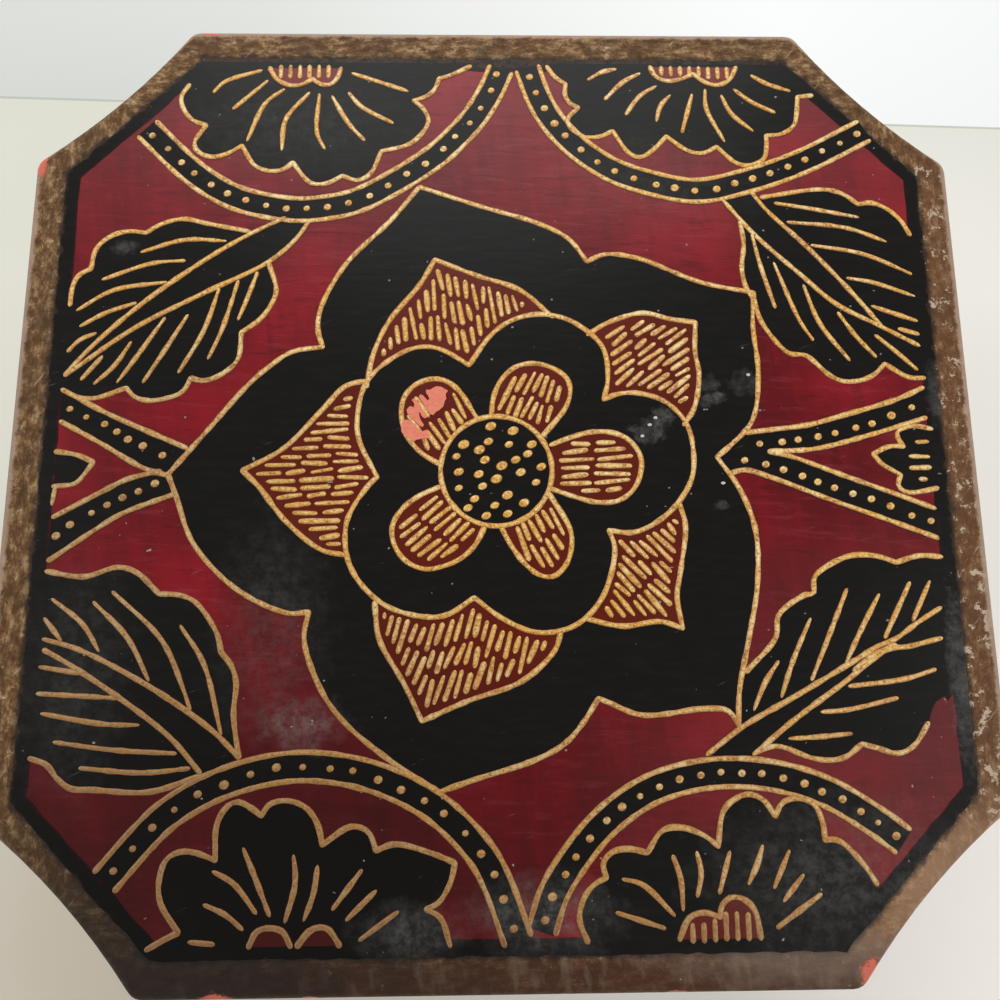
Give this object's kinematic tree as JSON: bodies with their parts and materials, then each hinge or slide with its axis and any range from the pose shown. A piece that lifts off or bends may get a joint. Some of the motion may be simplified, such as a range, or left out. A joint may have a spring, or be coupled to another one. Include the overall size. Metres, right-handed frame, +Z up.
{
  "type": "jewelry box",
  "caption": "Hinged wooden jewelry box, square with cut corners, hand-painted flower lid in crimson, black and gold, velvet-lined compartments.",
  "frame": {"origin": "centre of the underside, on the surface the box stands on", "axes": "+Z up; the hinges are at the back, +Y, and the lid's free edge is at the front, -Y; +X is to the right"},
  "size_m": [0.1616, 0.1616, 0.0772],
  "materials": {
    "painted_wood": "hand-painted and waxed",
    "dark_wood": "stained black and waxed",
    "velvet": "short pile velvet",
    "brass": "satin",
    "steel": "plain wire nail"
  },
  "bodies": {
    "box": {"wall_front": "painted_wood", "wall_corner_front_right": "painted_wood", "wall_right": "painted_wood", "wall_corner_back_right": "painted_wood", "wall_back": "painted_wood", "wall_corner_back_left": "painted_wood", "wall_left": "painted_wood", "wall_corner_front_left": "painted_wood", "base_board": "painted_wood", "base_nails": "steel", "wall_lining": "velvet", "floor_pad": "velvet", "divider_side_to_side": "dark_wood", "divider_front_to_back": "dark_wood", "hinge_left_box_leaf": "brass", "hinge_right_box_leaf": "brass", "hinge_left_pin": "brass", "hinge_right_pin": "brass", "hinge_screws_box": "brass"},
    "lid": {"lid_board": "painted_wood", "lid_pad": "velvet", "hinge_left_lid_leaf": "brass", "hinge_right_lid_leaf": "brass", "hinge_screws_lid": "brass"}
  },
  "joints": [
    {"name": "lid_hinge", "type": "hinge", "parent": "box", "child": "lid", "pos_m": [0, 0.0751, 0.0661], "axis": [-1, 0, 0], "range_deg": [0, 116]}
  ]
}
